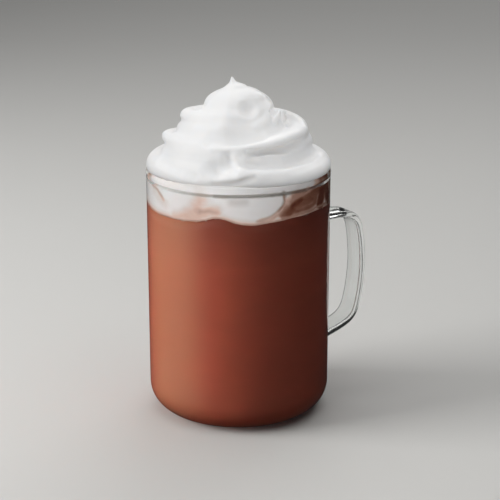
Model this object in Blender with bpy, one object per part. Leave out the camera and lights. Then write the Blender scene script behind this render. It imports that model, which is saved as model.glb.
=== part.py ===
"""A caffe mocha: a clear glass mug with a strap handle, the drink, the cream melting
into it under the rim, and the swirl of whipped cream heaped on top.

Metres, +Z up. The origin is the centre of the mug's flat bottom; the handle is along +X.
"""

import math

import bmesh
import bpy
import numpy as np

MM = 0.001

# The mug
mug_radius = 41.0
mug_height = 112.5
wall = 3.0
base_thickness = 4.0
corner_radius = 12.2
bead_radius = 1.95
bead_centre_r = 39.1
mug_steps = 72

# The handle: a flat strap, its centre line as (distance from the axis, height)
strap_width = 12.0
strap_thick = 3.1
strap_corner = 1.35
strap_line = [
    (39.6, 83.9), (46.0, 84.0), (53.0, 83.9), (58.4, 82.7), (61.7, 79.0),
    (63.4, 72.2), (64.3, 64.0), (64.45, 57.0), (63.9, 50.0), (62.8, 43.0),
    (61.0, 36.2), (58.0, 32.0), (53.0, 29.3), (46.4, 26.9), (39.6, 24.6),
]
strap_flare = 1.22
strap_rings = 56

# What fills it
gap = 0.3
drink_level = 97.0
cream_floor = 108.7
melt_top = cream_floor - gap
fill_steps = 56
# The line where the melted cream meets the drink at the wall: (azimuth, height).
# Azimuths here and below are before swirl_turn is added.
drink_line = [
    (-180, 98.0), (-162, 98.3), (-150, 96.9), (-137, 96.3), (-126, 96.1), (-118, 96.8),
    (-110, 98.3), (-103, 99.3), (-97, 98.3), (-91, 97.1), (-84, 96.4), (-77, 96.1),
    (-66, 96.8), (-50, 97.0), (-34, 97.2), (-18, 97.2), (10, 96.6), (40, 97.6),
    (75, 96.5), (110, 97.6), (145, 96.6),
]

# The whipped cream: the swirl is turned this far from the handle
swirl_turn = -30.0
cream_step = 2.42
soft = 2.0
# The heap inside the folds: (height, radius)
heap = [
    (104.0, 38.4), (112.5, 38.6), (116.0, 37.0), (118.0, 34.9), (120.0, 32.8),
    (122.0, 30.8), (124.0, 28.9), (128.0, 25.2), (132.0, 21.0), (136.0, 17.4),
    (139.0, 14.8), (142.0, 12.6), (144.0, 10.6), (145.4, 8.2), (146.4, 5.8),
    (147.2, 3.0), (147.7, 0.5),
]
# The bottom ring, from the right round the back to the front: (azimuth, radius, height,
# half width, half height)
ring = [
    (-25, 32.0, 114.0, 2.0, 2.0), (0, 34.2, 114.8, 5.4, 5.9), (30, 34.6, 114.8, 6.2, 6.9),
    (90, 34.2, 114.6, 6.3, 6.9), (140, 34.4, 114.4, 6.2, 6.9), (180, 34.6, 114.6, 6.3, 6.9),
    (210, 34.3, 114.6, 6.2, 6.9), (235, 34.0, 114.5, 5.8, 6.4),
    (252, 33.4, 114.2, 5.4, 5.4), (264, 32.0, 113.6, 4.0, 3.6), (276, 30.0, 113.0, 1.6, 1.6),
]
# Where that ring starts, lapped over its end: it drops to the rim and runs to the right
lip = [
    (-103, 32.4, 120.4, 1.0, 1.0), (-99, 33.6, 119.2, 2.2, 2.2), (-92, 35.0, 117.2, 2.8, 2.8),
    (-84, 36.2, 115.4, 3.1, 2.9), (-70, 37.0, 114.4, 3.4, 3.1), (-45, 37.3, 114.4, 3.4, 3.3),
    (-20, 37.2, 115.2, 3.7, 3.7), (0, 36.6, 115.8, 4.2, 4.3), (25, 35.4, 115.6, 4.0, 4.6),
    (45, 34.0, 115.0, 2.0, 2.0),
]
brow = [
    (-104, 29.6, 121.0, 1.0, 1.0), (-99, 30.6, 122.0, 2.0, 1.9), (-90, 30.8, 122.2, 2.4, 2.0),
    (-75, 30.6, 121.6, 2.2, 1.8), (-58, 30.0, 120.8, 1.2, 1.0),
]
# The fold that climbs from the ring to the top, two turns and a half
fold = [
    (95, 26.0, 119.0, 2.0, 2.0), (130, 28.6, 122.6, 3.6, 3.0),
    (180, 30.4, 125.8, 3.4, 2.8), (215, 29.4, 126.2, 3.3, 2.6),
    (250, 28.2, 126.2, 2.8, 2.2), (270, 28.2, 126.6, 2.9, 2.3), (290, 27.9, 127.0, 3.2, 2.6),
    (320, 26.8, 127.8, 4.0, 3.3), (345, 25.8, 128.4, 5.0, 4.4),
    (372, 24.6, 129.6, 6.0, 5.6), (395, 23.6, 131.4, 6.3, 5.8), (425, 22.6, 132.6, 6.2, 5.4),
    (460, 21.4, 133.8, 5.4, 4.6), (510, 21.2, 134.9, 4.4, 3.8),
    (545, 21.4, 135.5, 4.1, 3.2), (575, 19.2, 135.4, 4.0, 3.2),
    (610, 15.0, 135.4, 4.0, 3.8), (650, 12.4, 135.8, 4.4, 4.2), (680, 11.6, 136.8, 4.6, 4.6),
    (715, 10.6, 138.4, 5.0, 5.2), (760, 9.6, 139.0, 5.4, 5.6),
    (830, 8.8, 139.2, 5.8, 5.8), (900, 9.0, 139.6, 5.9, 5.4),
    (960, 7.0, 139.6, 5.6, 5.0), (1030, 3.6, 140.0, 5.0, 4.6),
]
# Smaller folds laid between the turns
shoulder = [
    (120, 20.0, 128.0, 2.0, 2.0), (155, 23.2, 128.8, 3.0, 3.0),
    (190, 23.4, 129.4, 3.4, 3.4), (222, 23.0, 130.4, 3.6, 3.4),
    (248, 21.0, 130.6, 2.6, 2.6), (266, 19.0, 130.4, 1.2, 1.2),
]
cheek = [
    (-176, 27.0, 121.0, 1.6, 1.6), (-160, 30.0, 121.6, 3.6, 3.4),
    (-140, 29.8, 122.6, 4.2, 4.2), (-118, 29.2, 122.8, 4.2, 4.2),
    (-102, 28.2, 122.4, 3.2, 3.2), (-88, 27.0, 121.6, 1.6, 1.6),
]
under = [
    (-40, 25.6, 124.0, 1.5, 1.5), (-18, 27.6, 124.2, 3.2, 3.0), (0, 28.8, 124.2, 3.7, 3.4),
    (40, 28.4, 124.2, 3.8, 3.4), (85, 26.0, 123.0, 2.0, 2.0),
]
# The drawn-out tip: (x, y, height, radius)
tip = [
    (-0.8, 0.0, 144.0, 3.6), (-1.6, -0.1, 147.2, 2.2), (-2.3, -0.2, 149.6, 1.3),
    (-2.6, -0.3, 151.2, 0.7),
]
# Hollows pressed into the folds: (x, y, height, radius, softness)
hollows = [
    (4.6, -18.4, 143.4, 6.2, 2.2), (-7.5, -40.6, 122.6, 7.0, 1.8),
]


def clear_scene():
    for obj in list(bpy.data.objects):
        bpy.data.objects.remove(obj)


def principled(name, colour, roughness, transmission=0.0, subsurface=0.0):
    material = bpy.data.materials.new(name)
    material.use_nodes = True
    shader = material.node_tree.nodes["Principled BSDF"]
    shader.inputs["Base Color"].default_value = (*colour, 1.0)
    shader.inputs["Roughness"].default_value = roughness
    shader.inputs["Transmission Weight"].default_value = transmission
    shader.inputs["Subsurface Weight"].default_value = subsurface
    shader.inputs["IOR"].default_value = 1.5 if transmission else 1.4
    material.diffuse_color = (*colour, 0.3 if transmission else 1.0)
    return material


def mesh_object(name, points, faces, material=None):
    """A named object from points in millimetres, its faces turned outwards."""
    mesh = bpy.data.meshes.new(name)
    mesh.from_pydata([tuple(float(c) * MM for c in p) for p in points], [], faces)
    tidy = bmesh.new()
    tidy.from_mesh(mesh)
    bmesh.ops.recalc_face_normals(tidy, faces=tidy.faces)
    tidy.to_mesh(mesh)
    tidy.free()
    mesh.validate()
    obj = bpy.data.objects.new(name, mesh)
    bpy.context.scene.collection.objects.link(obj)
    if material:
        mesh.materials.append(material)
    return obj


def arc(centre_r, centre_z, radius, start, end, steps):
    """Points (radius, height) along an arc, angles in degrees."""
    angles = np.radians(np.linspace(start, end, steps + 1))
    return [(centre_r + radius * math.cos(a), centre_z + radius * math.sin(a)) for a in angles]


def rings_solid(rings, name, material=None):
    """A closed solid from rings of points, bottom to top, capped by its first and last points."""
    steps = len(rings[1])
    points = [rings[0][0]]
    for ring_points in rings[1:-1]:
        points.extend(ring_points)
    points.append(rings[-1][0])
    last = len(points) - 1
    faces = [(0, 1 + (i + 1) % steps, 1 + i) for i in range(steps)]
    for row in range(len(rings) - 3):
        low = 1 + row * steps
        high = low + steps
        for i in range(steps):
            j = (i + 1) % steps
            faces.append((low + i, low + j, high + j, high + i))
    top = last - steps
    faces.extend((top + i, top + (i + 1) % steps, last) for i in range(steps))
    return mesh_object(name, points, faces, material)


def lathe(profile, steps, name, material=None):
    """A solid turned from (radius, height) points; the first and last are on the axis."""
    rings = [[(0.0, 0.0, profile[0][1])]]
    for radius, height in profile[1:-1]:
        turns = [2 * math.pi * i / steps for i in range(steps)]
        rings.append([(radius * math.cos(t), radius * math.sin(t), height) for t in turns])
    rings.append([(0.0, 0.0, profile[-1][1])])
    return rings_solid(rings, name, material)


def smooth_path(points, count):
    """Evenly spaced points on a Catmull-Rom curve through the given ones."""
    keys = np.array(points, float)
    keys = np.vstack([2 * keys[0] - keys[1], keys, 2 * keys[-1] - keys[-2]])
    dense = []
    for i in range(1, len(keys) - 2):
        a, b, c, d = keys[i - 1:i + 3]
        for t in np.linspace(0, 1, 20, endpoint=False):
            dense.append(0.5 * (2 * b + (c - a) * t + (2 * a - 5 * b + 4 * c - d) * t ** 2
                                + (3 * b - a - 3 * c + d) * t ** 3))
    dense.append(keys[-2])
    dense = np.array(dense)
    lengths = np.concatenate([[0], np.cumsum(np.linalg.norm(np.diff(dense, axis=0), axis=1))])
    wanted = np.linspace(0, lengths[-1], count)
    return np.stack([np.interp(wanted, lengths, dense[:, k]) for k in range(2)], axis=1)


def strap_section():
    """The strap's cross-section: (across its width, through its thickness)."""
    half_w = strap_width / 2 - strap_corner
    half_t = strap_thick / 2 - strap_corner
    section = []
    for turn, (side_w, side_t) in enumerate([(1, 1), (-1, 1), (-1, -1), (1, -1)]):
        for angle in np.radians(np.linspace(0, 90, 4) + 90 * turn):
            section.append((side_w * half_w + strap_corner * math.cos(angle),
                            side_t * half_t + strap_corner * math.sin(angle)))
    return section


def strap(name):
    line = smooth_path(strap_line, strap_rings)
    along = np.gradient(line, axis=0)
    along /= np.linalg.norm(along, axis=1)[:, None]
    section = strap_section()
    rings = [[(line[0][0], 0.0, line[0][1])]]
    for (radius, height), (dr, dz) in zip(line, along):
        near_wall = max(0.0, 1 - (radius - mug_radius) / 6.0)
        grow = 1 + (strap_flare - 1) * min(near_wall, 1.0) ** 2
        rings.append([(radius - dz * t * grow, w * grow, height + dr * t * grow)
                      for w, t in section])
    rings.append([(line[-1][0], 0.0, line[-1][1])])
    return rings_solid(rings, name)


def boolean(obj, other, operation):
    """Applies one Boolean and removes the other object."""
    step = obj.modifiers.new(operation.lower(), "BOOLEAN")
    step.operation = operation
    step.solver = "EXACT"
    step.object = other
    bpy.context.view_layer.update()
    graph = bpy.context.evaluated_depsgraph_get()
    mesh = bpy.data.meshes.new_from_object(obj.evaluated_get(graph))
    obj.modifiers.clear()
    obj.data = mesh
    bpy.data.objects.remove(other)


def mug_profile():
    inner = mug_radius - wall
    flat = mug_radius - corner_radius
    inner_corner = corner_radius - wall
    bead_z = mug_height - bead_radius
    out_turn = -math.degrees(math.acos((mug_radius - bead_centre_r) / bead_radius))
    in_turn = 180 + math.degrees(math.acos((bead_centre_r - inner) / bead_radius))
    profile = [(0, 0)]
    profile += arc(flat, corner_radius, corner_radius, -90, 0, 7)
    profile += [(mug_radius, 40.0), (mug_radius, 75.0)]
    profile += arc(bead_centre_r, bead_z, bead_radius, out_turn, in_turn, 10)
    profile += arc(flat, base_thickness + inner_corner, inner_corner, 0, -90, 6)
    profile += [(0, base_thickness)]
    return profile


def make_mug():
    glass = principled("glass", (0.93, 0.96, 0.95), 0.02, transmission=1.0)
    mug = lathe(mug_profile(), mug_steps, "mug", glass)
    boolean(mug, strap("strap"), "UNION")
    return mug


def level_at(radius, azimuth):
    """Height of the drink's top: wavy at the wall, level in the middle."""
    keys = np.array(drink_line + [(drink_line[0][0] + 360, drink_line[0][1])], float)
    turned = (azimuth - swirl_turn + 180) % 360 - 180
    edge = np.interp(turned, keys[:, 0], keys[:, 1])
    near = np.clip((radius - 16.0) / 20.0, 0, 1) ** 2
    return drink_level + (edge - drink_level) * near


def fill_rings(radii, lift):
    """Rings over the drink's top surface, from the wall to the middle."""
    turns = [360.0 * i / fill_steps for i in range(fill_steps)]
    rings = []
    for radius in radii:
        rings.append([(radius * math.cos(math.radians(t)), radius * math.sin(math.radians(t)),
                       level_at(radius, t) + lift) for t in turns])
    return rings


def flat_rings(profile):
    turns = [2 * math.pi * i / fill_steps for i in range(fill_steps)]
    return [[(r * math.cos(t), r * math.sin(t), z) for t in turns] for r, z in profile]


def make_mocha():
    side = mug_radius - wall - gap
    flat = mug_radius - corner_radius
    floor = base_thickness + gap
    rings = [[(0.0, 0.0, floor)]]
    rings += flat_rings(arc(flat, floor + side - flat, side - flat, -90, 0, 6))
    rings += fill_rings([side, 33.0, 27.0, 20.0, 10.0], 0.0)
    rings.append([(0.0, 0.0, drink_level)])
    colour = (0.17, 0.045, 0.025)
    return rings_solid(rings, "mocha", principled("mocha", colour, 0.25, subsurface=0.1))


def make_melted_cream():
    side = mug_radius - wall - gap
    rings = [[(0.0, 0.0, drink_level + gap)]]
    rings += fill_rings([10.0, 20.0, 27.0, 33.0, side], gap)
    rings += flat_rings([(side, melt_top), (20.0, melt_top)])
    rings.append([(0.0, 0.0, melt_top)])
    colour = (0.72, 0.52, 0.43)
    return rings_solid(rings, "melted_cream", principled("melted_cream", colour, 0.4,
                                                         subsurface=0.3))


def blend(a, b, width):
    """The smaller of two fields, with a fillet of this width between them."""
    mix = np.clip(0.5 + 0.5 * (b - a) / width, 0, 1)
    return b + (a - b) * mix - width * mix * (1 - mix)


def section_field(strand, azimuth, radius, height):
    """Signed distance to a fold given by its sections, in the plane through the axis."""
    keys = np.array(strand, float)
    result = np.full(np.broadcast(radius, height).shape, 1e3)
    first = math.floor((keys[0, 0] + 180) / 360)
    last = math.ceil((keys[-1, 0] + 180) / 360)
    for lap in range(first, last + 1):
        turned = azimuth + 360.0 * lap
        if keys[0, 0] > turned.max() or keys[-1, 0] < turned.min():
            continue
        inside = (turned >= keys[0, 0]) & (turned <= keys[-1, 0])
        r0, z0, a, b = (np.interp(turned, keys[:, 0], keys[:, k]) for k in range(1, 5))
        reach = np.sqrt(((radius - r0) / a) ** 2 + ((height - z0) / b) ** 2)
        distance = (reach - 1) * np.minimum(a, b)
        distance = np.where(inside, distance, 1e3)
        result = np.where(result > 900, distance,
                          np.where(distance > 900, result, blend(result, distance, soft)))
    return result


def ball_field(x, y, z, ball):
    return np.sqrt((x - ball[0]) ** 2 + (y - ball[1]) ** 2 + (z - ball[2]) ** 2) - ball[3]


def tip_field(x, y, z):
    """Rounded cones through the tip's balls."""
    best = np.full(np.broadcast(x, y, z).shape, 1e3)
    for a, b in zip(tip, tip[1:]):
        span = np.array(b[:3]) - np.array(a[:3])
        t = ((x - a[0]) * span[0] + (y - a[1]) * span[1] + (z - a[2]) * span[2]) / span.dot(span)
        t = np.clip(t, 0, 1)
        reach = np.sqrt((x - a[0] - t * span[0]) ** 2 + (y - a[1] - t * span[1]) ** 2
                        + (z - a[2] - t * span[2]) ** 2)
        best = np.minimum(best, reach - (a[3] + (b[3] - a[3]) * t))
    return best


def cream_field(x, y, z):
    """Below zero inside the cream. x, y before the swirl is turned; all in millimetres."""
    radius = np.sqrt(x * x + y * y)
    azimuth = np.degrees(np.arctan2(y, x))
    keys = np.array(heap)
    steep = np.interp(z, keys[:, 0], np.gradient(keys[:, 1], keys[:, 0]))
    result = (radius - np.interp(z, keys[:, 0], keys[:, 1])) / np.sqrt(1 + steep * steep)
    result = np.maximum(result, z - keys[-1, 0])
    result = blend(result, section_field(ring, azimuth, radius, z), soft)
    result = blend(result, section_field(lip, azimuth, radius, z), 1.2)
    result = blend(result, section_field(brow, azimuth, radius, z), 1.2)
    result = blend(result, section_field(cheek, azimuth, radius, z), soft)
    result = blend(result, section_field(under, azimuth, radius, z), soft)
    result = blend(result, section_field(shoulder, azimuth, radius, z), soft)
    result = blend(result, section_field(fold, azimuth, radius, z), soft * 0.8)
    result = blend(result, tip_field(x, y, z), 2.6)
    for hollow in hollows:
        result = -blend(-result, ball_field(x, y, z, hollow), hollow[4])
    return result


def close_pinches(field, step):
    """Fills the grid's corners where the surface would touch itself along an edge."""
    for _ in range(12):
        inside = field < 0
        clean = True
        for u, v in ((0, 1), (1, 2), (0, 2)):
            corners = []
            for du, dv in ((0, 0), (1, 0), (1, 1), (0, 1)):
                part = [slice(None)] * 3
                part[u] = slice(du, field.shape[u] - 1 + du)
                part[v] = slice(dv, field.shape[v] - 1 + dv)
                corners.append(tuple(part))
            a, b, c, d = (inside[corner] for corner in corners)
            crossed = (a == c) & (b == d) & (a != b)
            if crossed.any():
                clean = False
                for corner in corners:
                    part = field[corner]
                    part[crossed] = np.minimum(part[crossed], -0.1 * step)
        if clean:
            break


def surface_net(field, low, step):
    """Points and four-sided faces where the sampled field crosses zero."""
    inside = field < 0
    shape = np.array(field.shape) - 1
    total = np.zeros((*shape, 3))
    count = np.zeros(shape)
    crossings = []
    for axis in range(3):
        start = [slice(None)] * 3
        stop = [slice(None)] * 3
        start[axis] = slice(None, -1)
        stop[axis] = slice(1, None)
        a, b = field[tuple(start)], field[tuple(stop)]
        at = np.argwhere(inside[tuple(start)] != inside[tuple(stop)])
        where = tuple(at.T)
        place = at.astype(float)
        place[:, axis] += a[where] / (a[where] - b[where])
        crossings.append((axis, at, inside[tuple(start)][where]))
        u, v = (axis + 1) % 3, (axis + 2) % 3
        for du in (0, 1):
            for dv in (0, 1):
                cell = at.copy()
                cell[:, u] -= du
                cell[:, v] -= dv
                fits = ((cell >= 0) & (cell < shape)).all(axis=1)
                np.add.at(total, tuple(cell[fits].T), place[fits])
                np.add.at(count, tuple(cell[fits].T), 1)
    used = count > 0
    number = np.full(shape, -1)
    number[used] = np.arange(used.sum())
    points = low + step * total[used] / count[used][:, None]
    faces = []
    for axis, at, is_inside in crossings:
        u, v = (axis + 1) % 3, (axis + 2) % 3
        corners = []
        for du, dv in ((1, 1), (0, 1), (0, 0), (1, 0)):
            cell = at.copy()
            cell[:, u] -= du
            cell[:, v] -= dv
            corners.append(number[tuple(cell.T)])
        quads = np.stack(corners, axis=1)
        quads[~is_inside] = quads[~is_inside][:, ::-1]
        faces.extend(quads.tolist())
    return points, faces


def swirl_mesh(step, low, high):
    """The swirl's surface at the given spacing, turned into place."""
    axes = [np.arange(a, b + step, step) for a, b in zip(low, high)]
    x, y, z = np.meshgrid(*axes, indexing="ij", sparse=True)
    field = cream_field(x, y, z)
    field[:, :, 0] = np.maximum(field[:, :, 0], step * 0.4)
    close_pinches(field, step)
    points, faces = surface_net(field, np.array(low), step)
    points[points[:, 2].argmax()] = (tip[-1][0], tip[-1][1], tip[-1][2] + tip[-1][3])
    turn = math.radians(swirl_turn)
    x, y = points[:, 0].copy(), points[:, 1].copy()
    points[:, 0] = x * math.cos(turn) - y * math.sin(turn)
    points[:, 1] = x * math.sin(turn) + y * math.cos(turn)
    return points, faces


def clearance():
    """All the space under the cream: the filled mug with the gap added round its rim."""
    bead_z = mug_height - bead_radius
    grown = bead_radius + gap + 0.05
    side = 60.0
    profile = [(0, cream_floor - 9), (side, cream_floor - 9), (side, bead_z - 0.6)]
    profile += arc(bead_centre_r, bead_z, grown, -18, 198, 14)
    profile += [(bead_centre_r - grown, cream_floor), (0, cream_floor)]
    return lathe(profile, mug_steps, "clearance")


def make_whipped_cream():
    points, faces = swirl_mesh(cream_step, (-46.0, -46.0, 104.0), (46.0, 46.0, 154.0))
    colour = (0.86, 0.86, 0.84)
    white = principled("whipped_cream", colour, 0.45, subsurface=0.4)
    cream = mesh_object("whipped_cream", points, faces, white)
    boolean(cream, clearance(), "DIFFERENCE")
    return cream


def main():
    clear_scene()
    for obj in (make_mug(), make_mocha(), make_melted_cream(), make_whipped_cream()):
        obj.data.shade_smooth()
        obj.data.set_sharp_from_angle(angle=math.radians(38))


main()
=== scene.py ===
"""The looks of a caffe mocha in a glass mug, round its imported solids.

Lengths are in metres in the settings and in millimetres in the shape functions.
"""

import math
from functools import partial

import bmesh
import bpy
import numpy as np
from bpy.props import FloatProperty, IntProperty, PointerProperty, StringProperty
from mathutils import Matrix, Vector, noise


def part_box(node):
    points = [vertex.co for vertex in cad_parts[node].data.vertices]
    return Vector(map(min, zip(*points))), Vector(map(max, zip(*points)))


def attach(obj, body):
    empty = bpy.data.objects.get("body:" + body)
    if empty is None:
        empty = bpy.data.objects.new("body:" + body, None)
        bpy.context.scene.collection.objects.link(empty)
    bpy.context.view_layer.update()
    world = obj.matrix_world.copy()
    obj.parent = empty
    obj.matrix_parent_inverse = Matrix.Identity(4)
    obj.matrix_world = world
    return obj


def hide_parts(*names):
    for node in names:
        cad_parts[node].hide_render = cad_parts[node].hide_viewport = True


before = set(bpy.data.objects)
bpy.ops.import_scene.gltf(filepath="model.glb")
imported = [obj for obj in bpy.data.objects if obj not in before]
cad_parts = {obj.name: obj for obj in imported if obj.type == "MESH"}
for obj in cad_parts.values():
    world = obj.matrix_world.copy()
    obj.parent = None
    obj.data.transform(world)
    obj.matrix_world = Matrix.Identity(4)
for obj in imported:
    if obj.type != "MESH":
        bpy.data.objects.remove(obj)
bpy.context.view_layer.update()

bl_info = {
    "name": "Caffe mocha",
    "version": (1, 0, 0),
    "blender": (4, 5, 0),
    "location": "3D View > Sidebar > Mocha",
    "description": "Builds a glass mug of mocha with melting and whipped cream",
    "category": "Object",
}

MM = 0.001
MUG_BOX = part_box("mug")
# The glass: its bottom corner outside, its base, the bead round its rim, its wall's inside
FLAT_CORNER = 12.2
BASE = 4.0
BEAD_RADIUS = 1.95
BEAD_CENTRE = 39.1
BEAD_HEIGHT = 110.55
WALL_INSIDE = 38.0
# The fillings reach this far into the glass, and this far into each other
INTO_WALL = 0.06
LAP = 0.25
MELT_TOP = 110.9
# The groove that the melted cream leaves under the bead: its height, half height and depth
GROOVE_HEIGHT = 108.05
GROOVE_HALF = 0.7
GROOVE_DEPTH = 1.4
# The drink's waves grow from here outwards, over this distance
WAVES_FROM = 16.0
WAVES_OVER = 20.0
# The eddies that fray the marbling: (size, reach), and their rise as a share of the reach
EDDIES = ((8.0, 1.6), (2.5, 0.7))
EDDY_RISE = 0.7
# Fillets of the slope and of the tip, and how deep the slope lies where it has no share
SLOPE_FILLET = 2.4
TIP_FILLET = 2.6
SLOPE_SUNK = 5.0
# Further than any distance in the fields, and how far round itself a chain is worked out
FAR = 1e3
ROUND_CHAIN = 3.0
# Shares of a step that a point is pulled towards its neighbours and pushed back
PULL = 0.5
PUSH = -0.52
# Of the light off what wets the glass: the share that the wall lets out at once, and the
# share that it throws back
LET_OUT = 0.384
THROWN_BACK = 0.6
# The froth bubbles' spread about the drink's edge, and how far in from the glass they sit
FROTH_SPREAD = 0.22
FROTH_SUNK = (0.12, 0.2)

# The handle's centre line: (distance from the axis, height)
STRAP_LINE = [
    (39.6, 83.9), (46, 84), (53, 83.9), (58.4, 82.7), (61.7, 79), (63.4, 72.2), (64.3, 64),
    (64.45, 57), (63.9, 50), (62.8, 43), (61, 36.2), (58, 32), (53, 29.3), (46.4, 26.9),
    (39.6, 24.6),
]

# Azimuths below are before the swirl's turn is added.
# The line where the melted cream meets the drink at the wall: (azimuth, height).
# This table and those of the strands, grooves, marbling and painted shade were worked out
# from points placed in the camera's view; the rest, most of them out of view, were taken
# as they were chosen. A separate script wrote this table and those of the strands, grooves,
# marbling and creases.
DRINK_LINE = [
    (-180, 97), (-166.8, 96.7), (-158.3, 95.9), (-148.4, 95.5), (-137.7, 95.5), (-127.3, 95.6),
    (-117.6, 96), (-110.7, 96.9), (-106.1, 98), (-103.6, 98.3), (-98.5, 97.9), (-93.5, 96.7),
    (-88.6, 95.8), (-82.4, 95.3), (-77.4, 95.3), (-70.9, 95.9), (-62.8, 96.2), (-54, 96.9),
    (-43.2, 96.9), (-33, 97.3), (-23.8, 97.2), (-14.5, 96.9), (10, 96.4), (40, 97.3), (75, 96.2),
    (110, 97.3), (145, 96.2),
]

# The heap inside the folds: (height, radius)
HEAP = [
    (104, 38.4), (112.5, 38.6), (116, 37), (118, 35.2), (120, 33.4), (122, 31.6), (124, 29.9),
    (128, 25.6), (132, 21), (136, 17.4), (139, 14.8), (142, 13), (144, 11.4), (145.4, 9.8),
    (146.4, 8.2), (147.3, 5.8), (147.9, 3), (148.2, 0.5),
]
# The smooth slope at the front left, where the folds melt together: (height, radius),
# and how much of it shows by azimuth
SLOPE = [
    (112, 37.2), (116, 37), (119, 36.2), (122, 34.9), (125, 33), (128, 30.4), (130.5, 27.8),
    (133, 25), (135.5, 22), (138, 18.6), (141, 14.2), (143, 11), (145, 7), (146.5, 3),
]
SLOPE_SHARE = [(-182, 0), (-156, 1), (-112, 1), (-76, 0)]
# Folds: (azimuth, radius, height, half width, half height). The bottom ring runs from
# the right round the back to the front.
RING = [
    (-25, 32, 113.4, 2, 2), (0, 34.4, 113.6, 5.4, 5.2), (30, 34.8, 113.6, 6.2, 5.6),
    (90, 34.4, 113.6, 6.3, 5.9), (140, 34.5, 113.6, 6.2, 5.9), (180, 34.5, 113.6, 6.3, 5.9),
    (210, 34.5, 113.7, 6.3, 6.2), (235, 34.5, 113.6, 6.1, 6.3), (252, 34, 113.4, 5.6, 5.6),
    (264, 32.8, 113, 4.4, 4), (276, 30.6, 112.6, 2, 2),
]
# Where that ring starts, lapped over its end: it drops to the rim and runs to the right
LIP = [
    (-104, 33.6, 117.6, 1.6, 2.6), (-100, 34.8, 116.2, 2.9, 4.4), (-92, 36.2, 114.8, 3.8, 4.8),
    (-80, 37, 114, 4, 4.2), (-66, 37.4, 113.7, 4, 3.8), (-45, 37.6, 113.6, 4, 3.7),
    (-20, 37.3, 113.8, 4, 3.8), (0, 36.6, 113.9, 4.3, 4), (25, 36, 113.8, 4.1, 4.4),
    (45, 34.6, 113.8, 2.4, 2.4),
]
# The fold that climbs from the ring to the top, two turns and a half
FOLD = [
    (95, 26, 119, 2, 2), (130, 28.6, 122.6, 3.6, 3), (180, 30.4, 125.8, 3.4, 2.8),
    (215, 29.4, 126.2, 3.3, 2.6), (250, 28.2, 126.2, 2.8, 2.2), (270, 28.2, 126.6, 2.9, 2.3),
    (290, 27.9, 127, 3.2, 2.6), (320, 26.8, 127.6, 4, 3.2), (345, 25.8, 128, 5, 4.2),
    (372, 25.1, 128.8, 5.9, 5.1), (395, 24, 130, 6, 4.8), (425, 22.4, 131, 5.9, 4.4),
    (460, 21.2, 132.2, 5.2, 4.2), (510, 21.2, 133.6, 4.4, 3.6), (545, 21.4, 135.4, 4.1, 3.2),
    (575, 19.2, 135.4, 4, 3.2), (610, 15, 135.4, 4, 3.8), (650, 12.4, 135.8, 4.4, 4.2),
    (680, 11.6, 136.8, 4.6, 4.6), (715, 10.6, 138.4, 5, 5.2), (760, 9.6, 139, 5.4, 5.6),
    (830, 8.8, 139.2, 5.8, 5.8), (900, 9, 139.6, 5.9, 5.4), (960, 7, 139.6, 5.6, 5),
    (1030, 3.6, 140, 5, 4.6),
]
# Smaller folds laid between the turns
SHOULDER = [
    (120, 20, 128, 2, 2), (155, 23.2, 128.8, 3, 3), (190, 23.7, 129.5, 3.6, 3.8),
    (222, 23, 130.6, 3.6, 3.6), (248, 21, 130.6, 2.6, 2.6), (266, 19, 130.4, 1.2, 1.2),
]
CHEEK = [
    (-194, 27.6, 120.4, 1.6, 1.6), (-178, 29.4, 120.6, 3, 2.6), (-160, 30, 121.4, 3.6, 3.4),
    (-140, 29.8, 122.6, 4.2, 4.2), (-118, 29.2, 122.8, 4.2, 4.2), (-102, 28.2, 122.4, 3.2, 3.2),
    (-88, 27, 121.6, 1.6, 1.6),
]
UNDER = [
    (-62, 26.6, 121.6, 1.5, 1.5), (-40, 28, 122.6, 2.8, 2.8), (-18, 28.6, 123.4, 3.4, 3.2),
    (0, 29, 123.8, 3.8, 3.6), (40, 28.4, 124.2, 3.8, 3.4), (85, 26, 123, 2, 2),
]
# Each fold with the width of the fillet that joins it to the rest
FOLDS = [(RING, 2.0), (LIP, 1.8), (CHEEK, 2.0), (UNDER, 2.0), (SHOULDER, 2.0), (FOLD, 1.6)]
# The drawn-out tip: (x, y, height, radius)
TIP = [
    (-0.4, 0, 141.6, 7.6), (-1.1, 0, 145.2, 4.3), (-1.7, -0.1, 147.6, 2.5),
    (-2.3, -0.2, 149.7, 1.4), (-2.6, -0.3, 151.5, 0.7),
]
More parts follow.
